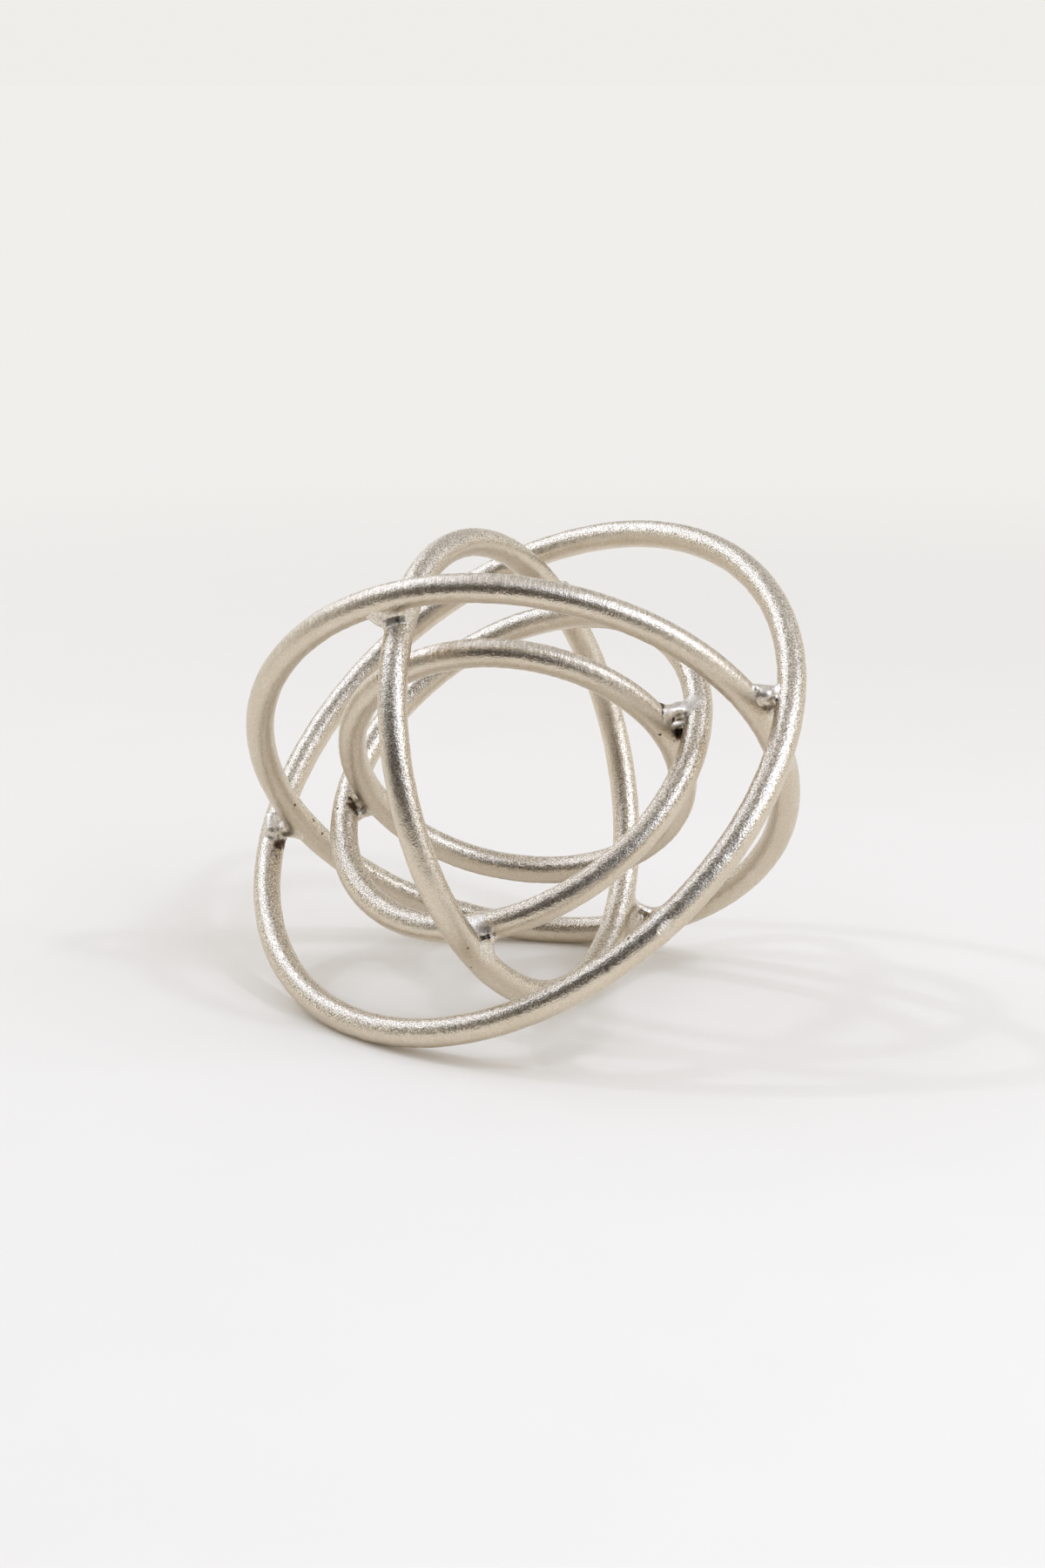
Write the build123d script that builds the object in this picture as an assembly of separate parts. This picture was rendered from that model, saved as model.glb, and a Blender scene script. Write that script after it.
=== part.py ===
from build123d import *
import os
from collections import namedtuple
from math import asin, cos, degrees, radians, sin, sqrt

# Five rings of round bar, nested like a gimbal and welded, standing on the three largest.
# Origin on the floor under the middle of the outline, X to the right, Y to the back, Z up.

# Bar stock and the largest ring, millimetres, ring sizes on the bar's centreline
ROD_DIAMETER = 8.0
OUTER_RING_DIAMETER = 172.0

# Gaps from bar to bar that the welds bridge, at the two ends of each pair's common diameter
OUTER_SECOND_RIGHT_GAP = 2.3
OUTER_SECOND_LEFT_GAP = 3.5
SECOND_THIRD_FRONT_GAP = 0.5
SECOND_THIRD_BACK_GAP = 4.6
THIRD_FOURTH_BACK_GAP = 0.5
THIRD_FOURTH_FRONT_GAP = 0.9
FOURTH_INNER_RIGHT_GAP = 0.9
FOURTH_INNER_LEFT_GAP = 0.5

# Directions in which the ring planes fall, degrees from X towards Y
OUTER_RING_FALL = -137.0
SECOND_RING_FALL = 78.5
THIRD_RING_FALL = -26.0
FOURTH_RING_FALL = -132.5
INNER_RING_FALL = 79.0

# Slopes of the ring planes from the floor, degrees; the two largest lean until they reach the floor
THIRD_RING_SLOPE = 73.5
FOURTH_RING_SLOPE = 41.5
INNER_RING_SLOPE = 54.0

# Places where each bar's two ends meet, degrees round its ring from the lowest point
OUTER_RING_SEAM = 68.0
SECOND_RING_SEAM = 262.0
THIRD_RING_SEAM = 345.0
FOURTH_RING_SEAM = 176.0
INNER_RING_SEAM = 139.0

# Root gap between the two ends of a bar, filled by its closing weld
CLOSING_GAP = 2.0

# Weld necks between rings: how far their toes reach down the bars, the hollow of their waist,
# and how far their rims lie below the bars' surface before they are trimmed to it
WELD_TOE_DEPTH = 3.0
WELD_HOLLOW = 0.5
WELD_SINK = 0.15

# Depth of the small flats, rubbed level on one plane, that the three largest rings stand on
REST_FLAT_DEPTH = 0.25

# Passes that bring the three standing rings to the floor together
SETTLING_PASSES = 40

ROD_RADIUS = ROD_DIAMETER / 2
UP = Vector(0, 0, 1)

# A ring's centre, centreline radius, upward normal, and the diameter that it shares with the ring
# around it; the outer ring has no such diameter
Ring = namedtuple("Ring", "centre radius normal shared_diameter")


def upward_normal(fall, slope):
    """Unit normal of a plane that falls towards the direction `fall` at `slope` degrees."""
    downhill = Vector(cos(radians(fall)), sin(radians(fall)), 0)
    return downhill * sin(radians(slope)) + UP * cos(radians(slope))


def steepness(ring):
    """Sine of a ring's slope from the floor."""
    return sqrt(1 - ring.normal.Z**2)


def standing_slope(radius, centre_height):
    """Slope at which a ring reaches the floor with just its rest flat below it."""
    return degrees(asin((centre_height + REST_FLAT_DEPTH - ROD_RADIUS) / radius))


def seat(around, fall, slope, first_gap, second_gap):
    """Ring seated inside another by two gaps on their common diameter, the first at its positive end."""
    normal = upward_normal(fall, slope)
    shared = normal.cross(around.normal).normalized()
    radius = around.radius - ROD_DIAMETER - (first_gap + second_gap) / 2
    centre = around.centre + shared * ((second_gap - first_gap) / 2)
    return Ring(centre, radius, normal, shared)


def stand_rings():
    """The three largest rings, settled so that all of them reach the floor together."""
    outer_radius = OUTER_RING_DIAMETER / 2
    height = outer_radius * sin(radians(THIRD_RING_SLOPE)) / 2
    second_slope = THIRD_RING_SLOPE
    for _ in range(SETTLING_PASSES):
        outer_normal = upward_normal(OUTER_RING_FALL, standing_slope(outer_radius, height))
        outer = Ring(UP * height, outer_radius, outer_normal, None)
        second = seat(
            outer, SECOND_RING_FALL, second_slope, OUTER_SECOND_RIGHT_GAP, OUTER_SECOND_LEFT_GAP
        )
        third = seat(
            second, THIRD_RING_FALL, THIRD_RING_SLOPE, SECOND_THIRD_FRONT_GAP, SECOND_THIRD_BACK_GAP
        )
        second_slope = standing_slope(second.radius, second.centre.Z)
        third_low = third.centre.Z - third.radius * steepness(third) - ROD_RADIUS
        height -= third_low + REST_FLAT_DEPTH
    return outer, second, third


def middle(rings, axis):
    """Middle of the rings' outline along X (0) or Y (1)."""
    lows = []
    highs = []
    for ring in rings:
        reach = ring.radius * sqrt(1 - tuple(ring.normal)[axis] ** 2) + ROD_RADIUS
        lows.append(tuple(ring.centre)[axis] - reach)
        highs.append(tuple(ring.centre)[axis] + reach)
    return (min(lows) + max(highs)) / 2


def place_rings():
    """All five rings by name, with the middle of their outline over the origin."""
    outer, second, third = stand_rings()
    fourth = seat(
        third, FOURTH_RING_FALL, FOURTH_RING_SLOPE, THIRD_FOURTH_BACK_GAP, THIRD_FOURTH_FRONT_GAP
    )
    inner = seat(
        fourth, INNER_RING_FALL, INNER_RING_SLOPE, FOURTH_INNER_RIGHT_GAP, FOURTH_INNER_LEFT_GAP
    )
    rings = {"outer": outer, "second": second, "third": third, "fourth": fourth, "inner": inner}
    shift = Vector(middle(rings.values(), 0), middle(rings.values(), 1), 0)
    return {name: ring._replace(centre=ring.centre - shift) for name, ring in rings.items()}


def bar_arc(ring, start, sweep):
    """Length of round bar along a ring, from `start` degrees past its lowest point."""
    lowest = (ring.normal * ring.normal.Z - UP).normalized()
    start_direction = lowest.rotate(Axis((0, 0, 0), ring.normal), start)
    plane = Plane(origin=ring.centre, x_dir=start_direction, z_dir=ring.normal)
    return Solid.make_torus(ring.radius, ROD_RADIUS, plane, major_angle=sweep)


def ring_bar(ring, seam):
    """Bar bent round to a ring, open by the closing gap at its seam."""
    gap_angle = degrees(CLOSING_GAP / ring.radius)
    return bar_arc(ring, seam + gap_angle / 2, 360 - gap_angle)


def closing_weld(ring, seam):
    """Weld metal in the closing gap, ground flush with the bar."""
    gap_angle = degrees(CLOSING_GAP / ring.radius)
    return bar_arc(ring, seam - gap_angle / 2, gap_angle)


def neck_weld(inside, around, end):
    """Spool of weld metal between two bars at one end of their common diameter, trimmed to the bars."""
    direction = inside.shared_diameter * end
    foot = inside.centre + direction * inside.radius
    head = around.centre + direction * around.radius
    length = (head - foot).length
    toe_height = ROD_RADIUS - WELD_TOE_DEPTH
    toe_reach = sqrt(ROD_RADIUS**2 - toe_height**2) - WELD_SINK
    waist_reach = toe_reach - WELD_HOLLOW
    lower_toe = (toe_reach, toe_height)
    upper_toe = (toe_reach, length - toe_height)
    side = ThreePointArc(lower_toe, (waist_reach, length / 2), upper_toe)
    ends = Polyline(upper_toe, (0, length - toe_height), (0, toe_height), lower_toe)
    spool = revolve(Plane.XZ * make_face(side + ends), Axis.Z)
    seated = Plane(origin=foot, z_dir=direction) * spool
    return seated - bar_arc(inside, 0, 360) - bar_arc(around, 0, 360)


def rubbed_flat(bar):
    """Bar with what lies below the floor rubbed away, which leaves its rest flat."""
    return split(bar, bisect_by=Plane.XY, keep=Keep.TOP)


def main():
    rings = place_rings()
    seams = {
        "outer": OUTER_RING_SEAM,
        "second": SECOND_RING_SEAM,
        "third": THIRD_RING_SEAM,
        "fourth": FOURTH_RING_SEAM,
        "inner": INNER_RING_SEAM,
    }
    standing = ("outer", "second", "third")
    # Each pair of neighbours, inside and around, with the names of the ends of their diameter
    neighbours = (
        ("second", "outer", "right", "left"),
        ("third", "second", "front", "back"),
        ("fourth", "third", "back", "front"),
        ("inner", "fourth", "right", "left"),
    )
    parts = {}
    for name, ring in rings.items():
        bar = ring_bar(ring, seams[name])
        parts[f"{name}_ring"] = rubbed_flat(bar) if name in standing else bar
        parts[f"{name}_ring_closing_weld"] = closing_weld(ring, seams[name])
    for inside, around, first, second in neighbours:
        for side, end in ((first, 1), (second, -1)):
            weld = neck_weld(rings[inside], rings[around], end)
            parts[f"{around}_{inside}_{side}_weld"] = weld
    os.makedirs("parts", exist_ok=True)
    for name, part in parts.items():
        export_step(part, f"parts/{name}.step")
    for name, ring in rings.items():
        slope = degrees(asin(steepness(ring)))
        print(name, "radius", round(ring.radius, 2), "slope", round(slope, 2), "centre", ring.centre)


main()
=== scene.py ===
from collections import namedtuple
from math import cos, pi, radians, sin, tau

import bpy
import numpy as np
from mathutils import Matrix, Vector


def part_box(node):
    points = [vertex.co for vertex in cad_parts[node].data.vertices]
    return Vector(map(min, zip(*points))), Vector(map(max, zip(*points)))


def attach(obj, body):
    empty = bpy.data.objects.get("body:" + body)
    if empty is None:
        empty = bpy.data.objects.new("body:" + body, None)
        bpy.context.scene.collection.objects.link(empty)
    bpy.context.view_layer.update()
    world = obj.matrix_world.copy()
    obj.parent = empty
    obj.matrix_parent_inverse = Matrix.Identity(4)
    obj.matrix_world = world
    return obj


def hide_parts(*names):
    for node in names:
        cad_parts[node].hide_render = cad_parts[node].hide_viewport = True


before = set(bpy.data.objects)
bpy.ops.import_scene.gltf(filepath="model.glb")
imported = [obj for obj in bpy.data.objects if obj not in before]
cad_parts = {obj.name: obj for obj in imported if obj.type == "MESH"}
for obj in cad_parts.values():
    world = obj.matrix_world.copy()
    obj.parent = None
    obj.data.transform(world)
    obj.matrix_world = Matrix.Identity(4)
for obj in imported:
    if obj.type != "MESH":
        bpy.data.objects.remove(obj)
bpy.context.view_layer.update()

# Five rings of round nickel bar, nested inside each other, welded together and set on a pale floor.
# Every ring and weld is read from the frame's solids. Lengths are millimetres until a mesh is written.

MM = 0.001

# The camera stands before the object, about twice as high as its top, and looks down a little
CAMERA_PLACE = (0.7, -776.0, 258.5)
CAMERA_DIP = 14.33
CAMERA_LENS = 65.0
CAMERA_SENSOR = 36.0

# Mesh steps along and around the bars, and how finely a weld's surface is drawn
BAR_STEP = 0.5
BAR_SIDES = 60
WELD_SIDES = 160
WELD_ROWS = 96
WELD_PROBES = 70

# How far below the true round the bars' surface lies on average and at least, how much that varies, and
# the pitch of its two wobbles with the share of the shorter one
WEAR_DEPTH = 0.05
LEAST_WEAR = 0.01
WEAR_SPREAD = 0.5
LONG_WOBBLE = 11.0
SHORT_WOBBLE = 2.8
SHORT_WOBBLE_SHARE = 0.9

# Rings that were brushed are so on their upper half, from a little above their middle
BRUSHED_FROM = 0.2
BRUSHED_EDGE = 3.0

# The bars' upper sides are worn and flecked from their middle upwards, the lower sides and the brushed
# lengths only a little
WORN_FROM = 0.0
WORN_EDGE = 2.5
LEAST_WORN = 0.2

# A closing weld laps the bar's ends, stands a hair proud of them, and was ground to a small facet, whose
# bright oval reaches a little past it
CLOSING_LAP = 0.6
CLOSING_PROUD = 0.01
CLOSING_STEPS = 24
FACET_DEPTH = 0.3
FACET_HALF_LENGTH = 3.0
FACET_HALF_WIDTH = 2.1
FACET_GRAZING = 0.2
FACET_EDGE = 2.0
GROUND_REACH = 1.1
GROUND_EDGE = 4.0

# Drops of weld metal: how far their surface is looked for, how deep their skirts go into the bars, and
# the pitch and height of the lumps in the metal
DROP_REACH = 8.0
DROP_SINK = 0.15
LUMP_PITCH = 4.2
LUMP_HEIGHT = 0.13
HOLE_ROUNDING = 0.3

# Pale floor: its size, how far out it fades into the light of the room, its two tones and the pitch of the
# clouds between them
FLOOR_FIRST = 20.0
FLOOR_REACH = 30000.0
FLOOR_RINGS = 40
FLOOR_SIDES = 96
FADE_START = 260.0
FADE_END = 1100.0
FLOOR_TONES = ("#E8E0D1", "#EAE2D3")
FLOOR_CLOUD_PITCH = 40.0
FLOOR_ROUGHNESS = 0.9
FLOOR_GLOSS = 0.1

# White of the floor where it shows directly or in the metal, and its share beside the lit board
FLOOR_GLOW = 0.87
GLOW_SHARE = 0.03

# Even light of the room, its dimmer ceiling, and the sines of the heights between which it fades
ROOM_COLOUR = "#FFFEFB"
ROOM_STRENGTH = 0.86
CEILING_COLOUR = "#F8F9FF"
CEILING_STRENGTH = 0.66
CEILING_FADE = (0.17, 0.6)

# Lamps: azimuth from straight behind towards the right, height in degrees, distance, size, power, colour,
# and whether the metal mirrors them; the two small ones only draw the rings' shadows
LAMPS = {
    "right_panel": (123, 40, 1400, (1500, 1100), 12.2, "#D3E1FF", True),
    "right_lamp": (131, 50, 1350, (90, 90), 2.4, "#D3E1FF", False),
    "left_panel": (-67, 48, 1500, (1900, 1000), 8.8, "#D3E1FF", True),
    "left_lamp": (-76, 50, 1350, (50, 50), 2.0, "#D3E1FF", False),
}
LAMP_AIM = 60.0

# Dim side of the room, in degrees as the object sees it: azimuth from straight behind towards the right,
# height, half width and half rise, how far the net goes on in these halves, and its lowest and highest edge
SCRIM_DISTANCE = 380.0
SCRIM_AZIMUTH = -162.0
SCRIM_HEIGHT = 14.0
SCRIM_WIDTH = 57.0
SCRIM_RISE = 43.0
SCRIM_MARGIN = 2.0
SCRIM_EDGES = (0.5, 89.0)
SCRIM_DENSITY = 0.97
SCRIM_TONE = "#2E231A"
SCRIM_STEPS = 48

# Nickel on the bars, the ground seams and the weld beads: its two tones, and the pitch of the clouds
# between them
NICKEL_TONES = ("#D6C9B4", "#E2D6C3")
GROUND_TONES = ("#DACFBE", "#E4DACB")
BEAD_TONES = ("#E2D8C8", "#EEE6D8")
CLOUD_PITCH = 14.0

# Grinding marks along and round the bar, the streaks of its brushed lengths, its light and dark flecks, and
# the arcs of its ground seams; drawn coarser than on the real bar, where they are too fine to show
GRAIN_PITCH = (0.42, 0.5, 0.5)
GRAIN_HARSHNESS = 0.6
GRAIN_DEPTH = 0.135
GRAIN_ROUGHNESS = (0.275, 0.285)
STREAK_PITCH = (0.6, 4.0, 4.0)
STREAK_ROUGHNESS = 0.32
STREAK_TONES = (0.7, 1.38)
ANISOTROPY = 0.7
FLECK_TONES = (0.42, 1.54)
ARC_PITCH = 0.8
ARC_OFFSET = 5.0
ARC_DISTORTION = 1.5
ARC_DETAIL_SCALE = 0.6
WAVE_SCALE = 0.32

# Small pits, painted dark for the shade in their hollows, one cell each: the share of cells that have one,
# the edges of each dark spot as shares of its cell, and how dark the painted shade is
PIT_PITCH = (9.0, 6.0, 6.0)
PIT_SHARE = 0.2
PIT_EDGES = (0.04, 0.08)
PIT_SHADE_STRENGTH = 0.8

# Sooty brown weld scale together with painted shade in creases, holes and pits, its ragged edge, and the
# weld beads' clouds, ripples, grain and flecks
SOOT_AND_SHADE_TONE = "#574838"
SOOT_AND_SHADE_PITCH = 1.3
SOOT_AND_SHADE_EDGES = (0.75, 1.25)
SOOT_AND_SHADE_ROUGHNESS = 0.42
BEAD_CLOUD_PITCH = 5.0
RIPPLE_PITCH = 1.9
RIPPLE_DEPTH = 0.09
BEAD_GRAIN = 0.6
BEAD_FLECK_TONES = (0.72, 1.2)
BEAD_ROUGHNESS = (0.34, 0.42)

# Finer layers in a noise, and the span that holds nearly all of its values
SOFT_DETAIL = 1.0
RAGGED_DETAIL = 2.0
NOISE_SPAN = (0.3, 0.7)

# Sockets of a Mix node: its share, its two numbers and its two tones, and where each kind comes out
MIX_SHARE = 0
MIX_NUMBERS = (2, 3)
MIX_TONES = (6, 7)
MIX_NUMBER_OUT = 0
MIX_TONE_OUT = 2

# Waves that are summed for one wobble, and the spread of their pitches
WAVES = 28
WAVE_SPREAD = (0.7, 1.4)

# Seeds of the random draws: the step from one ring or weld to the next, and the first weld's
SEED_STEP = 10
WELD_SEED = 100

# Passes of the fit that reads a ring from its solid
FIT_PASSES = 12

RING_NAMES = ("outer", "second", "third", "fourth", "inner")

# Which way each ring's ground seam faces, degrees round the bar from the ring's outside, and which rings
# were brushed
FACETS = dict(zip(RING_NAMES, (26, 60, 60, 60, 60)))
BRUSHED = dict(zip(RING_NAMES, (0.0, 0.75, 0.0, 0.0, 0.75)))

# A ring's centre, centreline radius, bar radius, upward normal, the direction from its centre to its
# lowest point, and the direction a quarter turn on from there
Ring = namedtuple("Ring", "centre radius bar normal lowest side")


def unit(vector):
    """Vector at length 1."""
    return vector / np.linalg.norm(vector)


def solid_points(node):
    """Vertices of a CAD node at rest, in millimetres."""
    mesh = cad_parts[node].data
    points = np.empty(len(mesh.vertices) * 3)
    mesh.vertices.foreach_get("co", points)
    return points.reshape(-1, 3) / MM


def read_ring(node):
    """Ring of a CAD bar by least squares: each vertex lies one bar radius from the centreline circle.

    With offset q from the centre, height h = q.normal and reach p = |q - h normal|, the distance to the
    circle is hypot(p - radius, h). Centre, normal, radius and bar radius are corrected together.
    """
    points = solid_points(node)
    centre = points.mean(axis=0)
    normal = np.linalg.svd(points - centre, full_matrices=False)[2][2]
    normal = normal * np.sign(normal[2])
    radius = np.linalg.norm(points - centre, axis=1).mean()
    bar = np.abs((points - centre) @ normal).max()
    for _ in range(FIT_PASSES):
        offset = points - centre
        height = offset @ normal
        flat = offset - np.outer(height, normal)
        reach = np.linalg.norm(flat, axis=1)
        gap = np.hypot(reach - radius, height)
        inward = (reach - radius) / gap
        upward = height / gap
        pull = flat / reach[:, None] * inward[:, None] + np.outer(upward, normal)
        tilt = flat * (upward - inward * height / reach)[:, None]
        slopes = np.hstack([-pull, tilt, -inward[:, None], -np.ones((len(points), 1))])
        change = np.linalg.lstsq(slopes, bar - gap, rcond=None)[0]
        centre = centre + change[:3]
        normal = unit(normal + change[3:6])
        radius += change[6]
        bar += change[7]
    lowest = unit(normal * normal[2] - np.array((0.0, 0.0, 1.0)))
    return Ring(centre, radius, bar, normal, lowest, np.cross(normal, lowest))


def ring_angles(ring, points):
    """Angles of points round a ring, from its lowest point, counter-clockwise about its normal."""
    offset = points - ring.centre
    return np.arctan2(offset @ ring.side, offset @ ring.lowest)


def spokes(ring, angles):
    """Unit directions from a ring's centre at the given angles."""
    return np.cos(angles)[..., None] * ring.lowest + np.sin(angles)[..., None] * ring.side


def closing_span(ring, node):
    """First and last angle of a ring's closing weld, read about the weld's own middle."""
    points = solid_points(node)
    middle = ring_angles(ring, points.mean(axis=0))
    turns = (ring_angles(ring, points) - middle + pi) % tau - pi
    return middle + turns.min(), middle + turns.max()


def wobble(points, pitch, seed):
    """Smooth noise of unit spread: a sum of sine waves in random directions, all near one pitch."""
    draw = np.random.default_rng(seed)
    directions = draw.normal(size=(WAVES, 3))
    directions /= np.linalg.norm(directions, axis=1)[:, None]
    waves = directions * (tau / pitch * draw.uniform(*WAVE_SPREAD, WAVES))[:, None]
    phases = draw.uniform(0, tau, WAVES)
    return np.sin(points @ waves.T + phases).sum(axis=-1) * np.sqrt(2 / WAVES)


def smooth_step(values):
    """0 below 0, 1 above 1, and 3t^2 - 2t^3 between."""
    t = np.clip(values, 0, 1)
    return t * t * (3 - 2 * t)


def closed_tube(name, rows, first_tip, last_tip):
    """Mesh object from a grid of points closed round its rows, with a fan of triangles at each end.

    Rows run so that the step along times the step round points outwards.
    """
    count, sides = rows.shape[:2]
    points = np.vstack([rows.reshape(-1, 3), first_tip, last_tip]) * MM
    index = np.arange(count * sides).reshape(count, sides)
    onward = np.roll(index, -1, axis=1)
    quads = np.stack([index[:-1], index[1:], onward[1:], onward[:-1]], axis=-1).reshape(-1, 4)
    first = np.full(sides, count * sides)
    fans = np.vstack([
        np.stack([first, index[0], onward[0]], axis=-1),
        np.stack([first + 1, onward[-1], index[-1]], axis=-1),
    ])
    mesh = bpy.data.meshes.new(name)
    mesh.from_pydata(points, [], quads.tolist() + fans.tolist())
    mesh.polygons.foreach_set("use_smooth", np.ones(len(mesh.polygons), dtype=bool))
    mesh.update()
    piece = bpy.data.objects.new(name, mesh)
    bpy.context.scene.collection.objects.link(piece)
    return piece


def write_attribute(piece, name, kind, values):
    """Stores one value per vertex under a name, with the two tips taking the last value."""
    flat = values.reshape(-1, values.shape[-1]) if kind == "FLOAT_VECTOR" else values.reshape(-1, 1)
    full = np.vstack([flat, flat[-1:], flat[-1:]])
    layer = piece.data.attributes.new(name, kind, "POINT")
    layer.data.foreach_set("vector" if kind == "FLOAT_VECTOR" else "value", full.ravel())


def seat_piece(piece, node, material):
    """Gives a piece its finish, sets it on the body that holds the whole object, and hides the solid it
    replaces; nothing on this object moves.
    """
    piece.data.materials.append(material)
    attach(piece, "root")
    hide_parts(node)


def soot_and_shade_at(points, spots):
    """Share of sooty brown and painted shade at points: strength exp(-(distance/reach)^2), from the
    strongest of all spots.
    """
    share = np.zeros(points.shape[:-1])
    for place, reach, strength in spots:
        distance = np.linalg.norm(points - place, axis=-1)
        share = np.maximum(share, strength * np.exp(-(distance / reach) ** 2))
    return share


def bar_stretch(name, ring, seed, seam, facet, angles, proud, brushed, spots):
    """Length of a ring's bar: the point at angle a and turn v is
    centre + radius spoke(a) + r (cos v spoke(a) + sin v normal), and nothing lies below the floor.

    The reach r is the bar's radius less its wear, which wobbles slowly along and round the bar, and no
    more than the ground facet beside the seam lets it be.
    """
    turns = np.linspace(0, tau, BAR_SIDES, endpoint=False)
    run, turn = np.meshgrid((angles - seam) * ring.radius, turns, indexing="ij")
    own = np.stack([run, ring.bar * np.cos(turn), ring.bar * np.sin(turn)], axis=-1)
    uneven = wobble(own, LONG_WOBBLE, seed) + SHORT_WOBBLE_SHARE * wobble(own, SHORT_WOBBLE, seed + 1)
    reach = ring.bar - np.maximum(LEAST_WEAR, WEAR_DEPTH * (1 + WEAR_SPREAD * uneven)) + proud
    from_seam = ((run / ring.radius + pi) % tau - pi) * ring.radius
    from_facet = (turn - facet + pi) % tau - pi
    ground = smooth_step(FACET_EDGE * (1 - np.abs(from_seam) / FACET_HALF_LENGTH))
    facing = np.cos(from_facet)
    facet_reach = (ring.bar - FACET_DEPTH * ground) / np.maximum(facing, FACET_GRAZING)
    reach = np.where(ground > 0, np.minimum(reach, facet_reach), reach)
    out = spokes(ring, angles)[:, None, :]
    section = np.cos(turn)[..., None] * out + np.sin(turn)[..., None] * ring.normal
    middles = ring.centre + ring.radius * spokes(ring, angles)
    rows = middles[:, None, :] + reach[..., None] * section
    rows[..., 2] = np.maximum(rows[..., 2], 0)
    piece = closed_tube(name, rows, middles[0], middles[-1])
    write_attribute(piece, "bar", "FLOAT_VECTOR", own * MM)
    onward = np.cross(ring.normal, spokes(ring, angles))[:, None, :] * np.ones_like(own)
    write_attribute(piece, "along", "FLOAT_VECTOR", onward)
    patch = np.stack([from_seam, ring.bar * from_facet, np.zeros_like(run)], axis=-1)
    write_attribute(piece, "patch", "FLOAT_VECTOR", patch * MM)
    oval = np.hypot(patch[..., 0] / FACET_HALF_LENGTH, patch[..., 1] / FACET_HALF_WIDTH)
    write_attribute(piece, "ground", "FLOAT", smooth_step(GROUND_EDGE * (GROUND_REACH - oval)))
    high = smooth_step(BRUSHED_EDGE * (-np.cos(angles)[:, None] - BRUSHED_FROM))
    worn = smooth_step(WORN_EDGE * (section[..., 2] - WORN_FROM))
    write_attribute(piece, "brushed", "FLOAT", brushed * high * worn)
    write_attribute(piece, "worn", "FLOAT", LEAST_WORN + (1 - LEAST_WORN) * worn * (1 - brushed * high))
    # Share of sooty brown and painted shade, near the welds and at the pits
    write_attribute(piece, "soot", "FLOAT", soot_and_shade_at(rows, spots))
    return piece


def to_bar(points, ring):
    """Distance from points to a bar's surface: to its centreline circle, less its radius."""
    offset = points - ring.centre
    height = offset @ ring.normal
    reach = np.linalg.norm(offset - height[..., None] * ring.normal, axis=-1)
    return np.hypot(reach - ring.radius, height) - ring.bar


def to_bead(points, start, end, radius):
    """Distance from points to a round-ended bead of weld metal between two places."""
    run = end - start
    share = np.clip(((points - start) @ run) / (run @ run), 0, 1)
    return np.linalg.norm(points - start - share[..., None] * run, axis=-1) - radius


def melt(first, second, width):
    """Smooth minimum of two distances: where they differ by less than the width, metal fills the notch."""
    overlap = np.clip(1 - np.abs(first - second) / width, 0, 1)
    return np.minimum(first, second) - overlap**2 * width / 4


# A drop of weld metal: a round-ended bead between two places, its radius, and how far it flows out on
# the bars. Places are (across, front, out) from the middle of the gap: out along the rings' common
# diameter, front towards the viewer, across to the side.
Drop = namedtuple("Drop", "start end radius flow")

# A neck weld: the rings inside and around it, its drops, its holes and cracks as (start, end, radius), and
# the sooty brown and painted shade of its creases and holes, on it and on the bars beside it, as (place,
# reach, strength)
Neck = namedtuple("Neck", "inside around drops holes soot")

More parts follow.
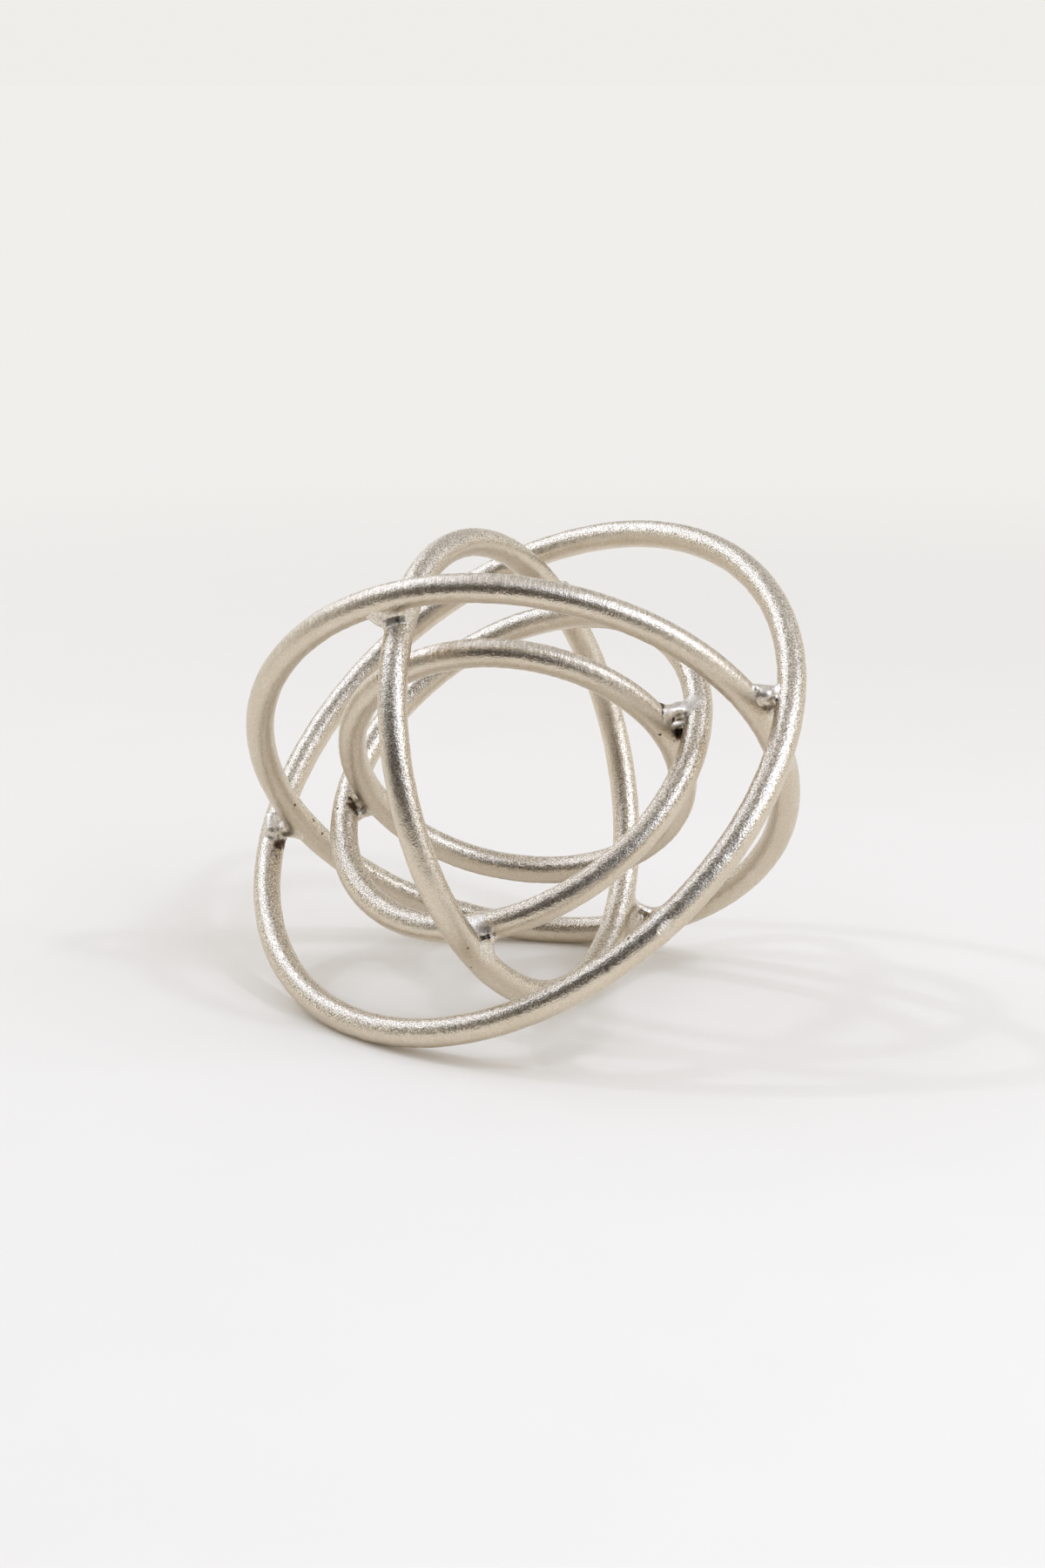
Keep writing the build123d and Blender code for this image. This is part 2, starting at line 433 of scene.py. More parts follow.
NECKS = {
    "outer_second_right_weld": Neck(
        "second", "outer",
        (Drop((0, -1.5, -3), (0, -1.5, 3), 2.5, 1.2), Drop((4.8, 0.5, -3.5), (1.6, -1, 2.6), 2.6, 1.4),
         Drop((3.5, 3.1, -0.3), (3.3, 3.1, 0.1), 2.45, 0.8),
         Drop((2.2, 2.3, 2.2), (0.4, 1.9, 2.5), 1.3, 0.5),
         Drop((5.9, 4.5, -2.1), (5.5, 4.5, -1.8), 1.2, 0.5)),
        (),
        (((2.2, 4, -3.6), 1.1, 1.0), ((1.4, 3.7, -4.2), 1.0, 1.0), ((3.5, 4.5, -2.8), 0.9, 1.0),
         ((0.2, 2.5, 0.1), 1.5, 0.9), ((1.6, 3.3, 2.9), 0.5, 1.0), ((0.6, 3.2, 2.9), 0.5, 1.0),
         ((-0.4, 3.1, 2.6), 0.7, 1.0), ((-1.5, 1.5, 1), 1.2, 0.9)),
    ),
    "outer_second_left_weld": Neck(
        "second", "outer",
        (Drop((-0.6, 1.3, -3.2), (-0.6, 1.3, 3.2), 2.7, 2.4),
         Drop((-4.1, 1.7, 4), (-1, 3.4, 3.5), 2.4, 1.2)),
        (),
        (((3.7, 5, 1.9), 1.9, 1.0), ((3.6, 2.5, 1.6), 1.9, 1.0), ((6, 7.6, 2.1), 2.4, 0.5),
         ((4.5, 0, 1.4), 1.6, 0.9), ((0, 3, 0.6), 2.4, 0.5)),
    ),
    "second_third_front_weld": Neck(
        "third", "second",
        (Drop((0, 0, -2), (0, 0, 2), 2.8, 1.4), Drop((4.1, 0.2, 0.4), (0.2, 1.6, -0.8), 2.6, 2.2)),
        (),
        (((1.4, 4, -0.9), 1.5, 0.85), ((-0.1, 3.9, -1.2), 1.4, 0.8), ((-1.8, 2.5, -1), 0.7, 0.8),
         ((4.8, 6, -2.3), 3, 0.4)),
    ),
    "second_third_back_weld": Neck(
        "third", "second",
        (Drop((0, 0, -3.4), (0, 0, 3.4), 2.4, 1.8), Drop((1.6, 0.2, -3), (3.2, 0.6, 2.4), 1.7, 2.6)),
        (((2.6, 2.2, 0.2), (2.6, 1.6, 0.8), 0.5),),
        (((2.5, 1.8, 0.5), 0.9, 0.9), ((3.3, 1.5, 3.5), 1.8, 0.5)),
    ),
    "third_fourth_back_weld": Neck(
        "fourth", "third",
        (Drop((0, 0, -2), (0, 0, 2), 2.8, 1.4), Drop((-2.1, 4, 5.2), (-1.7, 4.2, 5.6), 1.3, 0.6)),
        (), (),
    ),
    "third_fourth_front_weld": Neck(
        "fourth", "third",
        (Drop((0, 0.4, -1.2), (1.4, 0.8, 1.8), 2.8, 3.4),),
        (((0.2, 3.2, 1.8), (4, 3.6, -0.6), 0.5),),
        (((0.2, 3.2, 1.8), 0.9, 1.0), ((1.5, 3.3, 1), 0.9, 1.0), ((2.7, 3.4, 0.2), 0.8, 1.0),
         ((4, 3.8, -0.6), 0.7, 0.9)),
    ),
    "fourth_inner_right_weld": Neck(
        "inner", "fourth",
        (Drop((0, -1.4, -1.6), (0, -1.4, 1.6), 2.4, 1.2), Drop((6, 4.3, -2.4), (6, -3.4, 3), 2.1, 2.6),
         Drop((2.2, 3.2, -1.8), (2.2, 0.2, 1.8), 1.1, 0.5)),
        (((0, 2.6, 0), (0, 3.2, 0), 1.4),),
        (((4, 5, -1.5), 0.8, 1.0), ((3.7, 4, -0.1), 0.8, 1.0), ((3.4, 3, 1.5), 0.8, 1.0),
         ((-0.3, 1.8, -0.2), 2.2, 1.0)),
    ),
    "fourth_inner_left_weld": Neck(
        "inner", "fourth",
        (Drop((1.2, -0.8, -1.8), (1.2, -0.8, 1.8), 2.5, 1.4),
         Drop((4.6, 0.8, -1.4), (4.6, 0.8, 1.2), 1.1, 2.4)),
        (),
        (((2, 4.1, 0.8), 2.0, 1.0), ((-0.3, 3.5, 1.5), 1.0, 0.9), ((3.8, 4, -0.2), 1.4, 0.9)),
    ),
}

# Larger pits in the bars, painted dark for their shade, one by one: degrees round the ring, degrees round
# the bar, and their reach
PITS = {
    "outer": ((62, 97, 0.7), (56, 42, 0.8)),
    "second": ((75, -153, 0.6), (67, 180, 0.8), (63, -165, 0.6)),
    "third": ((310, -8, 0.6), (319, -39, 0.7), (304, 35, 0.5)),
    "fourth": ((301, 83, 0.6),),
    "inner": ((244, -82, 0.6),),
}


def neck_place(node, inside, around):
    """Middle of the gap between two rings at a weld, and the directions across, front and out there."""
    low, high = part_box(node)
    place = (np.array(low) + np.array(high)) / 2 / MM
    out = unit(np.cross(inside.normal, around.normal))
    out = out * np.sign(out @ (place - inside.centre))
    foot = inside.centre + out * (inside.radius + inside.bar)
    head = around.centre + out * (around.radius - around.bar)
    viewer = np.array((0.0, -cos(radians(CAMERA_DIP)), sin(radians(CAMERA_DIP))))
    front = unit(viewer - out * (viewer @ out))
    return (foot + head) / 2, np.array((np.cross(front, out), front, out))


def soot_and_shade_spots(rings, places):
    """All dark spots on the object as (place, reach, strength): sooty brown and painted shade beside the
    welds, and painted shade in the pits.
    """
    spots = []
    for node, (middle, axes) in places.items():
        spots += [(middle + np.array(spot) @ axes, reach, much) for spot, reach, much in NECKS[node].soot]
    for name, pits in PITS.items():
        ring = rings[name]
        for angle, turn, reach in pits:
            spoke = spokes(ring, np.radians(angle))
            way = cos(radians(turn)) * spoke + sin(radians(turn)) * ring.normal
            spots.append((ring.centre + ring.radius * spoke + ring.bar * way, reach, PIT_SHADE_STRENGTH))
    return spots


def weld_drop(name, seed, drop, holes, inside, around, middle, axes, spots):
    """Drop of weld metal on two bars, drawn outwards from its own middle.

    Along each direction its surface is where the bead's distance, melted together with the distance to
    the bars, first turns positive. Beyond its flow it ends as a skirt inside the bars, unseen.
    """
    start = middle + np.array(drop.start) @ axes
    end = middle + np.array(drop.end) @ axes
    heart = (start + end) / 2
    rises = np.linspace(-pi / 2, pi / 2, WELD_ROWS + 2)[1:-1]
    turns = -np.linspace(0, tau, WELD_SIDES, endpoint=False)
    rise, turn = np.meshgrid(rises, turns, indexing="ij")
    ways = np.stack([np.cos(rise) * np.cos(turn), np.cos(rise) * np.sin(turn), np.sin(rise)], axis=-1) @ axes
    probes = np.linspace(0, DROP_REACH, WELD_PROBES)
    points = heart + probes[:, None, None, None] * ways
    bead = to_bead(points, start, end, drop.radius)
    bead = bead + LUMP_HEIGHT * wobble(ways * drop.radius, LUMP_PITCH, seed)
    bars = np.minimum(to_bar(points, inside), to_bar(points, around))
    field = melt(bead, bars, drop.flow) + DROP_SINK * np.clip(bead / drop.flow, 0, 1)
    field = np.maximum(field, bead - drop.flow)
    for hole_start, hole_end, radius in holes:
        hole_ends = (middle + np.array(place) @ axes for place in (hole_start, hole_end))
        field = -melt(-field, to_bead(points, *hole_ends, radius), HOLE_ROUNDING)
    past = np.argmax(field > 0, axis=0)
    after = np.take_along_axis(field, past[None], axis=0)[0]
    before = np.take_along_axis(field, np.maximum(past - 1, 0)[None], axis=0)[0]
    reach = probes[1] * (past - after / np.where(after == before, 1, after - before))
    rows = heart + reach[..., None] * ways
    piece = closed_tube(name, rows, rows[0].mean(axis=0), rows[-1].mean(axis=0))
    # Share of sooty brown and painted shade in the bead's creases and holes
    write_attribute(piece, "soot", "FLOAT", soot_and_shade_at(rows, spots))
    return piece


def linear(code):
    """Linear colour of an sRGB hex code, with alpha 1."""
    channels = np.array([int(code[i:i + 2], 16) for i in (1, 3, 5)]) / 255
    curve = np.where(channels <= 0.04045, channels / 12.92, ((channels + 0.055) / 1.055) ** 2.4)
    return (*curve.tolist(), 1.0)


def add_node(tree, kind, settings, inputs):
    """Adds a node of a kind, sets its properties, and sets or links its inputs."""
    node = tree.nodes.new(kind)
    for key, value in settings.items():
        setattr(node, key, value)
    for key, value in inputs.items():
        if isinstance(value, bpy.types.NodeSocket):
            tree.links.new(value, node.inputs[key])
        else:
            node.inputs[key].default_value = value
    return node


def empty_material(name):
    """New node material with nothing in its tree."""
    material = bpy.data.materials.new(name)
    material.use_nodes = True
    material.node_tree.nodes.clear()
    return material


def per_metre(pitch):
    """Texture scale that gives a pattern of the pitch in millimetres."""
    return 1 / (pitch * MM)


def sooted_and_shaded(tree, tone, place):
    """Tone of a metal with brown sooty scale and painted shade of creases, holes and pits where the piece's
    attribute asks for them, broken up by noise, and the share of that darkening."""
    soot = add_node(tree, "ShaderNodeAttribute", {"attribute_name": "soot"}, {}).outputs["Fac"]
    ragged = add_node(
        tree, "ShaderNodeTexNoise", {},
        {"Vector": place, "Scale": per_metre(SOOT_AND_SHADE_PITCH), "Detail": RAGGED_DETAIL},
    ).outputs["Fac"]
    rough_edge = add_node(
        tree, "ShaderNodeMath", {"operation": "ADD"}, {0: soot, 1: ragged},
    ).outputs["Value"]
    share = add_node(
        tree, "ShaderNodeMapRange", {"interpolation_type": "SMOOTHSTEP"},
        {"Value": rough_edge, "From Min": SOOT_AND_SHADE_EDGES[0], "From Max": SOOT_AND_SHADE_EDGES[1]},
    ).outputs["Result"]
    dark = add_node(
        tree, "ShaderNodeMix", {"data_type": "RGBA"},
        {MIX_SHARE: share, MIX_TONES[0]: tone, MIX_TONES[1]: linear(SOOT_AND_SHADE_TONE)},
    ).outputs[MIX_TONE_OUT]
    return dark, share


def bar_nickel(name, tones):
    """Nickel-plated steel bar, hand-finished: a warm pale metal, bright in itself, with short grinding
    marks round the bar that break its highlights into sparkles, long ones where it was brushed, curved
    ones where a seam was ground, a few pits painted dark for their shade, and sooty brown with painted shade
    by the welds."""
    material = empty_material(name)
    tree = material.node_tree
    place = add_node(tree, "ShaderNodeTexCoord", {}, {}).outputs["Object"]
    bar = add_node(tree, "ShaderNodeAttribute", {"attribute_name": "bar"}, {}).outputs["Vector"]
    brushed = add_node(tree, "ShaderNodeAttribute", {"attribute_name": "brushed"}, {}).outputs["Fac"]
    ground = add_node(tree, "ShaderNodeAttribute", {"attribute_name": "ground"}, {}).outputs["Fac"]
    patch = add_node(tree, "ShaderNodeAttribute", {"attribute_name": "patch"}, {}).outputs["Vector"]

    grain_place = add_node(
        tree, "ShaderNodeMapping", {}, {"Vector": bar, "Scale": [per_metre(pitch) for pitch in GRAIN_PITCH]},
    ).outputs["Vector"]
    grain = add_node(
        tree, "ShaderNodeTexNoise", {},
        {"Vector": grain_place, "Scale": 1.0, "Detail": SOFT_DETAIL, "Roughness": GRAIN_HARSHNESS},
    ).outputs["Fac"]
    streak_place = add_node(
        tree, "ShaderNodeMapping", {},
        {"Vector": bar, "Scale": [per_metre(pitch) for pitch in STREAK_PITCH]},
    ).outputs["Vector"]
    streak = add_node(
        tree, "ShaderNodeTexNoise", {}, {"Vector": streak_place, "Scale": 1.0, "Detail": RAGGED_DETAIL},
    ).outputs["Fac"]
    marks = add_node(
        tree, "ShaderNodeMath", {"operation": "MULTIPLY_ADD"}, {0: streak, 1: brushed, 2: grain},
    ).outputs["Value"]
    arc_place = add_node(
        tree, "ShaderNodeVectorMath", {"operation": "ADD"}, {0: patch, 1: (ARC_OFFSET * MM, 0, 0)},
    ).outputs["Vector"]
    arcs = add_node(
        tree, "ShaderNodeTexWave", {"wave_type": "RINGS", "rings_direction": "SPHERICAL"},
        {"Vector": arc_place, "Scale": per_metre(ARC_PITCH) * WAVE_SCALE, "Distortion": ARC_DISTORTION,
         "Detail": SOFT_DETAIL, "Detail Scale": ARC_DETAIL_SCALE},
    ).outputs["Fac"]
    marks = add_node(
        tree, "ShaderNodeMix", {}, {MIX_SHARE: ground, MIX_NUMBERS[0]: marks, MIX_NUMBERS[1]: arcs},
    ).outputs[MIX_NUMBER_OUT]

    pit_place = add_node(
        tree, "ShaderNodeMapping", {}, {"Vector": bar, "Scale": [per_metre(pitch) for pitch in PIT_PITCH]},
    ).outputs["Vector"]
    cell = add_node(tree, "ShaderNodeTexVoronoi", {}, {"Vector": pit_place, "Scale": 1.0}).outputs
    near = add_node(
        tree, "ShaderNodeMapRange", {},
        {"Value": cell["Distance"], "From Min": PIT_EDGES[0], "From Max": PIT_EDGES[1],
         "To Min": PIT_SHADE_STRENGTH, "To Max": 0.0},
    ).outputs["Result"]
    chosen = add_node(
        tree, "ShaderNodeMath", {"operation": "LESS_THAN"}, {0: cell["Color"], 1: PIT_SHARE},
    ).outputs["Value"]
    pit_shade = add_node(tree, "ShaderNodeMath", {"operation": "MULTIPLY"}, {0: near, 1: chosen}).outputs["Value"]

    cloud = add_node(
        tree, "ShaderNodeTexNoise", {},
        {"Vector": place, "Scale": per_metre(CLOUD_PITCH), "Detail": SOFT_DETAIL},
    ).outputs["Fac"]
    tone = add_node(
        tree, "ShaderNodeMix", {"data_type": "RGBA"},
        {MIX_SHARE: cloud, MIX_TONES[0]: linear(tones[0]), MIX_TONES[1]: linear(tones[1])},
    ).outputs[MIX_TONE_OUT]
    fleck = add_node(
        tree, "ShaderNodeTexNoise", {}, {"Vector": grain_place, "Scale": 1.0, "Detail": SOFT_DETAIL},
    ).outputs["Fac"]
    fleck = add_node(
        tree, "ShaderNodeMapRange", {},
        {"Value": fleck, "From Min": NOISE_SPAN[0], "From Max": NOISE_SPAN[1],
         "To Min": FLECK_TONES[0], "To Max": FLECK_TONES[1]},
    ).outputs["Result"]
    worn = add_node(tree, "ShaderNodeAttribute", {"attribute_name": "worn"}, {}).outputs["Fac"]
    tone = add_node(
        tree, "ShaderNodeMix", {"data_type": "RGBA", "blend_type": "MULTIPLY"},
        {MIX_SHARE: worn, MIX_TONES[0]: tone, MIX_TONES[1]: fleck},
    ).outputs[MIX_TONE_OUT]
    stripe = add_node(
        tree, "ShaderNodeMapRange", {},
        {"Value": streak, "From Min": NOISE_SPAN[0], "From Max": NOISE_SPAN[1],
         "To Min": STREAK_TONES[0], "To Max": STREAK_TONES[1]},
    ).outputs["Result"]
    tone = add_node(
        tree, "ShaderNodeMix", {"data_type": "RGBA", "blend_type": "MULTIPLY"},
        {MIX_SHARE: brushed, MIX_TONES[0]: tone, MIX_TONES[1]: stripe},
    ).outputs[MIX_TONE_OUT]
    # Painted shade in the small pits
    tone = add_node(
        tree, "ShaderNodeMix", {"data_type": "RGBA"},
        {MIX_SHARE: pit_shade, MIX_TONES[0]: tone, MIX_TONES[1]: linear(SOOT_AND_SHADE_TONE)},
    ).outputs[MIX_TONE_OUT]
    # Sooty brown weld scale and painted shade in creases, holes and pits, from the piece's attribute
    tone, soot = sooted_and_shaded(tree, tone, place)
    gloss = add_node(
        tree, "ShaderNodeMapRange", {},
        {"Value": cloud, "From Min": NOISE_SPAN[0], "From Max": NOISE_SPAN[1],
         "To Min": GRAIN_ROUGHNESS[0], "To Max": GRAIN_ROUGHNESS[1]},
    ).outputs["Result"]
    gloss = add_node(
        tree, "ShaderNodeMix", {},
        {MIX_SHARE: brushed, MIX_NUMBERS[0]: gloss, MIX_NUMBERS[1]: STREAK_ROUGHNESS},
    ).outputs[MIX_NUMBER_OUT]
    gloss = add_node(
        tree, "ShaderNodeMix", {}, {MIX_SHARE: soot, MIX_NUMBERS[0]: gloss, MIX_NUMBERS[1]: SOOT_AND_SHADE_ROUGHNESS},
    ).outputs[MIX_NUMBER_OUT]
    along = add_node(tree, "ShaderNodeAttribute", {"attribute_name": "along"}, {}).outputs["Vector"]
    skin = add_node(
        tree, "ShaderNodeBump", {}, {"Height": marks, "Strength": 1.0, "Distance": GRAIN_DEPTH * MM},
    ).outputs["Normal"]
    shader = add_node(
        tree, "ShaderNodeBsdfPrincipled", {},
        {"Base Color": tone, "Metallic": 1.0, "Roughness": gloss, "Normal": skin,
         "Anisotropic": ANISOTROPY, "Tangent": along},
    ).outputs["BSDF"]
    add_node(tree, "ShaderNodeOutputMaterial", {}, {"Surface": shader})
    return material


def weld_nickel():
    """Nickel over molten weld metal: paler and softer than the bar, with slow ripples, a faint grain, and
    sooty brown in its creases and holes, which is partly weld scale and partly painted shade."""
    material = empty_material("nickel_over_weld_bead")
    tree = material.node_tree
    place = add_node(tree, "ShaderNodeTexCoord", {}, {}).outputs["Object"]
    cloud = add_node(
        tree, "ShaderNodeTexNoise", {},
        {"Vector": place, "Scale": per_metre(BEAD_CLOUD_PITCH), "Detail": RAGGED_DETAIL},
    ).outputs["Fac"]
    tone = add_node(
        tree, "ShaderNodeMix", {"data_type": "RGBA"},
        {MIX_SHARE: cloud, MIX_TONES[0]: linear(BEAD_TONES[0]), MIX_TONES[1]: linear(BEAD_TONES[1])},
    ).outputs[MIX_TONE_OUT]
    grain = add_node(
        tree, "ShaderNodeTexNoise", {},
        {"Vector": place, "Scale": per_metre(GRAIN_PITCH[1]), "Detail": SOFT_DETAIL},
    ).outputs["Fac"]
    fleck = add_node(
        tree, "ShaderNodeMapRange", {},
        {"Value": grain, "From Min": NOISE_SPAN[0], "From Max": NOISE_SPAN[1],
         "To Min": BEAD_FLECK_TONES[0], "To Max": BEAD_FLECK_TONES[1]},
    ).outputs["Result"]
    tone = add_node(
        tree, "ShaderNodeMix", {"data_type": "RGBA", "blend_type": "MULTIPLY"},
        {MIX_SHARE: 1.0, MIX_TONES[0]: tone, MIX_TONES[1]: fleck},
    ).outputs[MIX_TONE_OUT]
    # Sooty brown weld scale and painted shade in the bead's creases and holes
    tone, soot = sooted_and_shaded(tree, tone, place)
    gloss = add_node(
        tree, "ShaderNodeMapRange", {},
        {"Value": cloud, "From Min": NOISE_SPAN[0], "From Max": NOISE_SPAN[1],
         "To Min": BEAD_ROUGHNESS[0], "To Max": BEAD_ROUGHNESS[1]},
    ).outputs["Result"]
    gloss = add_node(
        tree, "ShaderNodeMix", {}, {MIX_SHARE: soot, MIX_NUMBERS[0]: gloss, MIX_NUMBERS[1]: SOOT_AND_SHADE_ROUGHNESS},
    ).outputs[MIX_NUMBER_OUT]
    ripple = add_node(
        tree, "ShaderNodeTexNoise", {},
        {"Vector": place, "Scale": per_metre(RIPPLE_PITCH), "Detail": RAGGED_DETAIL},
    ).outputs["Fac"]
    skin = add_node(
        tree, "ShaderNodeMath", {"operation": "MULTIPLY_ADD"}, {0: grain, 1: BEAD_GRAIN, 2: ripple},
    ).outputs["Value"]
    skin = add_node(
        tree, "ShaderNodeBump", {}, {"Height": skin, "Strength": 1.0, "Distance": RIPPLE_DEPTH * MM},
    ).outputs["Normal"]
    shader = add_node(
        tree, "ShaderNodeBsdfPrincipled", {},
        {"Base Color": tone, "Metallic": 1.0, "Roughness": gloss, "Normal": skin},
    ).outputs["BSDF"]
    add_node(tree, "ShaderNodeOutputMaterial", {}, {"Surface": shader})
    return material


def pale_floor():
    """Matt white board, which fades into the pale light of the room far from the object, so that no
    horizon shows."""
    material = empty_material("matt_white_board")
    tree = material.node_tree
    place = add_node(tree, "ShaderNodeTexCoord", {}, {}).outputs["Object"]
    cloud = add_node(
        tree, "ShaderNodeTexNoise", {},
        {"Vector": place, "Scale": per_metre(FLOOR_CLOUD_PITCH), "Detail": SOFT_DETAIL},
    ).outputs["Fac"]
    tone = add_node(
        tree, "ShaderNodeMix", {"data_type": "RGBA"},
        {MIX_SHARE: cloud, MIX_TONES[0]: linear(FLOOR_TONES[0]), MIX_TONES[1]: linear(FLOOR_TONES[1])},
    ).outputs[MIX_TONE_OUT]
    board = add_node(
        tree, "ShaderNodeBsdfPrincipled", {},
        {"Base Color": tone, "Roughness": FLOOR_ROUGHNESS, "Specular IOR Level": FLOOR_GLOSS},
    ).outputs["BSDF"]
    glow = add_node(
        tree, "ShaderNodeEmission", {}, {"Color": linear(ROOM_COLOUR), "Strength": FLOOR_GLOW},
    ).outputs["Emission"]
    reach = add_node(tree, "ShaderNodeVectorMath", {"operation": "LENGTH"}, {0: place}).outputs["Value"]
    far = add_node(
        tree, "ShaderNodeMapRange", {"interpolation_type": "SMOOTHSTEP"},
        {"Value": reach, "From Min": FADE_START * MM, "From Max": FADE_END * MM, "To Min": GLOW_SHARE},
    ).outputs["Result"]
    path = add_node(tree, "ShaderNodeLightPath", {}, {}).outputs
    mirrored = add_node(
        tree, "ShaderNodeMath", {"operation": "ADD"},
        {0: path["Is Glossy Ray"], 1: path["Is Transmission Ray"]},
    ).outputs["Value"]
    seen = add_node(
        tree, "ShaderNodeMath", {"operation": "ADD", "use_clamp": True},
        {0: path["Is Camera Ray"], 1: mirrored},
    ).outputs["Value"]
    share = add_node(tree, "ShaderNodeMath", {"operation": "MULTIPLY"}, {0: seen, 1: far}).outputs["Value"]
    mixed = add_node(tree, "ShaderNodeMixShader", {}, {0: share, 1: board, 2: glow}).outputs["Shader"]
    add_node(tree, "ShaderNodeOutputMaterial", {}, {"Surface": mixed})
    return material


def dark_scrim():
    """Dark brown net on a studio frame, thick in the middle and thin at its edge; only the metal sees
    it."""
    material = empty_material("dark_scrim_net")
    tree = material.node_tree
    density = add_node(tree, "ShaderNodeAttribute", {"attribute_name": "net_cover"}, {}).outputs["Fac"]
    clear = add_node(tree, "ShaderNodeBsdfTransparent", {}, {}).outputs["BSDF"]
    net = add_node(tree, "ShaderNodeBsdfDiffuse", {}, {"Color": linear(SCRIM_TONE)}).outputs["BSDF"]
    mixed = add_node(tree, "ShaderNodeMixShader", {}, {0: density, 1: clear, 2: net}).outputs["Shader"]
    add_node(tree, "ShaderNodeOutputMaterial", {}, {"Surface": mixed})
    return material


def stage_mesh(name, rows, closed, material):
    """Stage surface from a grid of points, joined round its rows if closed. It isn't part of the object."""
    count, sides = rows.shape[:2]
    index = np.arange(count * sides).reshape(count, sides)
    if closed:
        index = np.hstack([index, index[:, :1]])
    corners = [index[:-1, :-1], index[1:, :-1], index[1:, 1:], index[:-1, 1:]]
    quads = np.stack(corners, axis=-1).reshape(-1, 4)
    mesh = bpy.data.meshes.new(name)
    mesh.from_pydata(rows.reshape(-1, 3) * MM, [], quads.tolist())
    mesh.polygons.foreach_set("use_smooth", np.ones(len(mesh.polygons), dtype=bool))
    mesh.materials.append(material)
    surface = bpy.data.objects.new(name, mesh)
    bpy.context.scene.collection.objects.link(surface)
    return surface


def lay_floor():
    """Round pale floor: rings of points from near the middle out to its edge, all at height 0."""
    reach = np.geomspace(FLOOR_FIRST, FLOOR_REACH, FLOOR_RINGS)
    turns = np.linspace(0, tau, FLOOR_SIDES, endpoint=False)
    rows = np.stack([
        np.outer(reach, np.cos(turns)), np.outer(reach, np.sin(turns)), np.zeros((FLOOR_RINGS, FLOOR_SIDES)),
    ], axis=-1)
    rows[0] = 0
    stage_mesh("floor", rows, True, pale_floor())


def hang_scrim():
    """Dark scrim on the dim side of the room: a patch of a sphere about the object.

    Its density falls off from its middle as exp(-across^4 - up^4), counted in half widths and half rises.
    """
    steps = np.linspace(-SCRIM_MARGIN, SCRIM_MARGIN, SCRIM_STEPS)
    across, up = np.meshgrid(steps, steps, indexing="ij")
    azimuth = np.radians(SCRIM_AZIMUTH + SCRIM_WIDTH * across)
    height = np.radians(np.clip(SCRIM_HEIGHT + SCRIM_RISE * up, *SCRIM_EDGES))
    rows = SCRIM_DISTANCE * np.stack([
        np.sin(azimuth) * np.cos(height), np.cos(azimuth) * np.cos(height), np.sin(height),
    ], axis=-1)
    scrim = stage_mesh("scrim", rows, False, dark_scrim())
    density = SCRIM_DENSITY * np.exp(-across**4 - up**4)
    layer = scrim.data.attributes.new("net_cover", "FLOAT", "POINT")
    layer.data.foreach_set("value", density.ravel())
    scrim.visible_camera = False
    scrim.visible_diffuse = False
    scrim.visible_shadow = False


def sky_way(azimuth, height):
    """Unit direction at an azimuth from straight behind the object towards the right, and a height."""
    a = radians(azimuth)
    e = radians(height)
    return Vector((sin(a) * cos(e), cos(a) * cos(e), sin(e)))


def soft_box(name, azimuth, height, distance, size, power, colour, mirrored):
    """Flat studio lamp aimed at the middle of the object."""
    lamp = bpy.data.lights.new(name, "AREA")
    lamp.shape = "RECTANGLE"
    lamp.size = size[0] * MM
    lamp.size_y = size[1] * MM
    lamp.energy = power
    lamp.color = linear(colour)[:3]
    stand = bpy.data.objects.new(name, lamp)
    way = sky_way(azimuth, height)
    stand.location = way * distance * MM + Vector((0, 0, LAMP_AIM * MM))
    stand.rotation_euler = (-way).to_track_quat("-Z", "Y").to_euler()
    stand.visible_camera = False
    stand.visible_glossy = mirrored
    bpy.context.scene.collection.objects.link(stand)


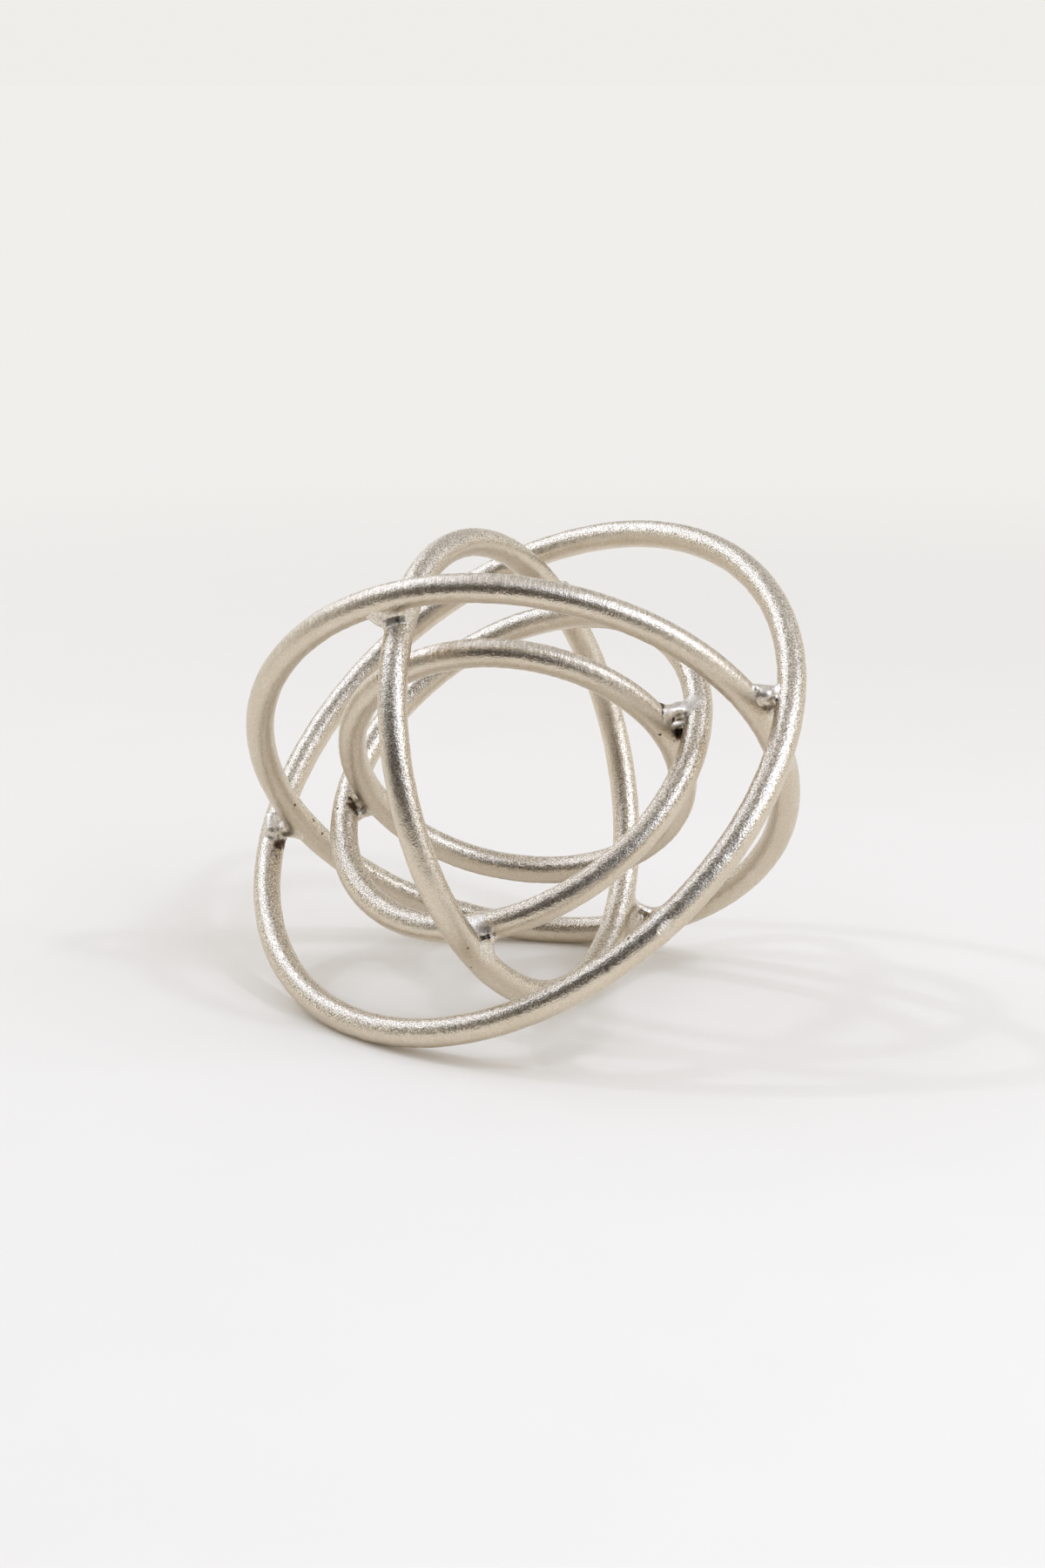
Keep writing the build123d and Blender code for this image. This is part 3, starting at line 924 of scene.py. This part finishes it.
def light_room():
    """Pale light from all round, dimmer from the ceiling."""
    world = bpy.data.worlds.new("studio")
    world.use_nodes = True
    world.node_tree.nodes.clear()
    tree = world.node_tree
    way = add_node(tree, "ShaderNodeTexCoord", {}, {}).outputs["Generated"]
    height = add_node(tree, "ShaderNodeSeparateXYZ", {}, {"Vector": way}).outputs["Z"]
    ceiling = add_node(
        tree, "ShaderNodeMapRange", {"interpolation_type": "SMOOTHSTEP"},
        {"Value": height, "From Min": CEILING_FADE[0], "From Max": CEILING_FADE[1]},
    ).outputs["Result"]
    strength = add_node(
        tree, "ShaderNodeMix", {},
        {MIX_SHARE: ceiling, MIX_NUMBERS[0]: ROOM_STRENGTH, MIX_NUMBERS[1]: CEILING_STRENGTH},
    ).outputs[MIX_NUMBER_OUT]
    colour = add_node(
        tree, "ShaderNodeMix", {"data_type": "RGBA"},
        {MIX_SHARE: ceiling, MIX_TONES[0]: linear(ROOM_COLOUR), MIX_TONES[1]: linear(CEILING_COLOUR)},
    ).outputs[MIX_TONE_OUT]
    glow = add_node(
        tree, "ShaderNodeBackground", {}, {"Color": colour, "Strength": strength},
    ).outputs["Background"]
    add_node(tree, "ShaderNodeOutputWorld", {}, {"Surface": glow})
    bpy.context.scene.world = world


def main():
    rings = {name: read_ring(f"{name}_ring") for name in RING_NAMES}
    places = {node: neck_place(node, rings[neck.inside], rings[neck.around]) for node, neck in NECKS.items()}
    spots = soot_and_shade_spots(rings, places)
    nickel = bar_nickel("brushed_nickel_bar", NICKEL_TONES)
    ground_nickel = bar_nickel("ground_nickel_seam", GROUND_TONES)
    weld_metal = weld_nickel()
    for number, (name, ring) in enumerate(rings.items()):
        node = f"{name}_ring"
        weld = f"{name}_ring_closing_weld"
        first, last = closing_span(ring, weld)
        seam = (first + last) / 2
        look = (ring, SEED_STEP * number, seam, radians(FACETS[name]))
        count = int((tau - last + first) * ring.radius / BAR_STEP)
        along = np.linspace(last, first + tau, count)
        bar = bar_stretch(f"{node}_bar", *look, along, 0.0, BRUSHED[name], spots)
        seat_piece(bar, node, nickel)
        lap = CLOSING_LAP / ring.radius
        span = np.linspace(first - lap, last + lap, CLOSING_STEPS)
        fill = bar_stretch(f"{weld}_fill", *look, span, CLOSING_PROUD, BRUSHED[name], spots)
        seat_piece(fill, weld, ground_nickel)
    for number, (node, neck) in enumerate(NECKS.items()):
        bars = (rings[neck.inside], rings[neck.around])
        for count, drop in enumerate(neck.drops):
            name = node.replace("_weld", f"_bead_{count + 1}")
            seed = WELD_SEED + SEED_STEP * number + count
            piece = weld_drop(name, seed, drop, neck.holes, *bars, *places[node], spots)
            seat_piece(piece, node, weld_metal)

    lay_floor()
    hang_scrim()
    for name, lamp in LAMPS.items():
        soft_box(name, *lamp)
    light_room()

    view = bpy.data.cameras.new("camera")
    view.lens = CAMERA_LENS
    view.sensor_width = CAMERA_SENSOR
    camera = bpy.data.objects.new("camera", view)
    camera.location = Vector(CAMERA_PLACE) * MM
    camera.rotation_euler = (pi / 2 - radians(CAMERA_DIP), 0, 0)
    bpy.context.scene.collection.objects.link(camera)
    bpy.context.scene.camera = camera
    bpy.context.scene.view_settings.view_transform = "Standard"


main()
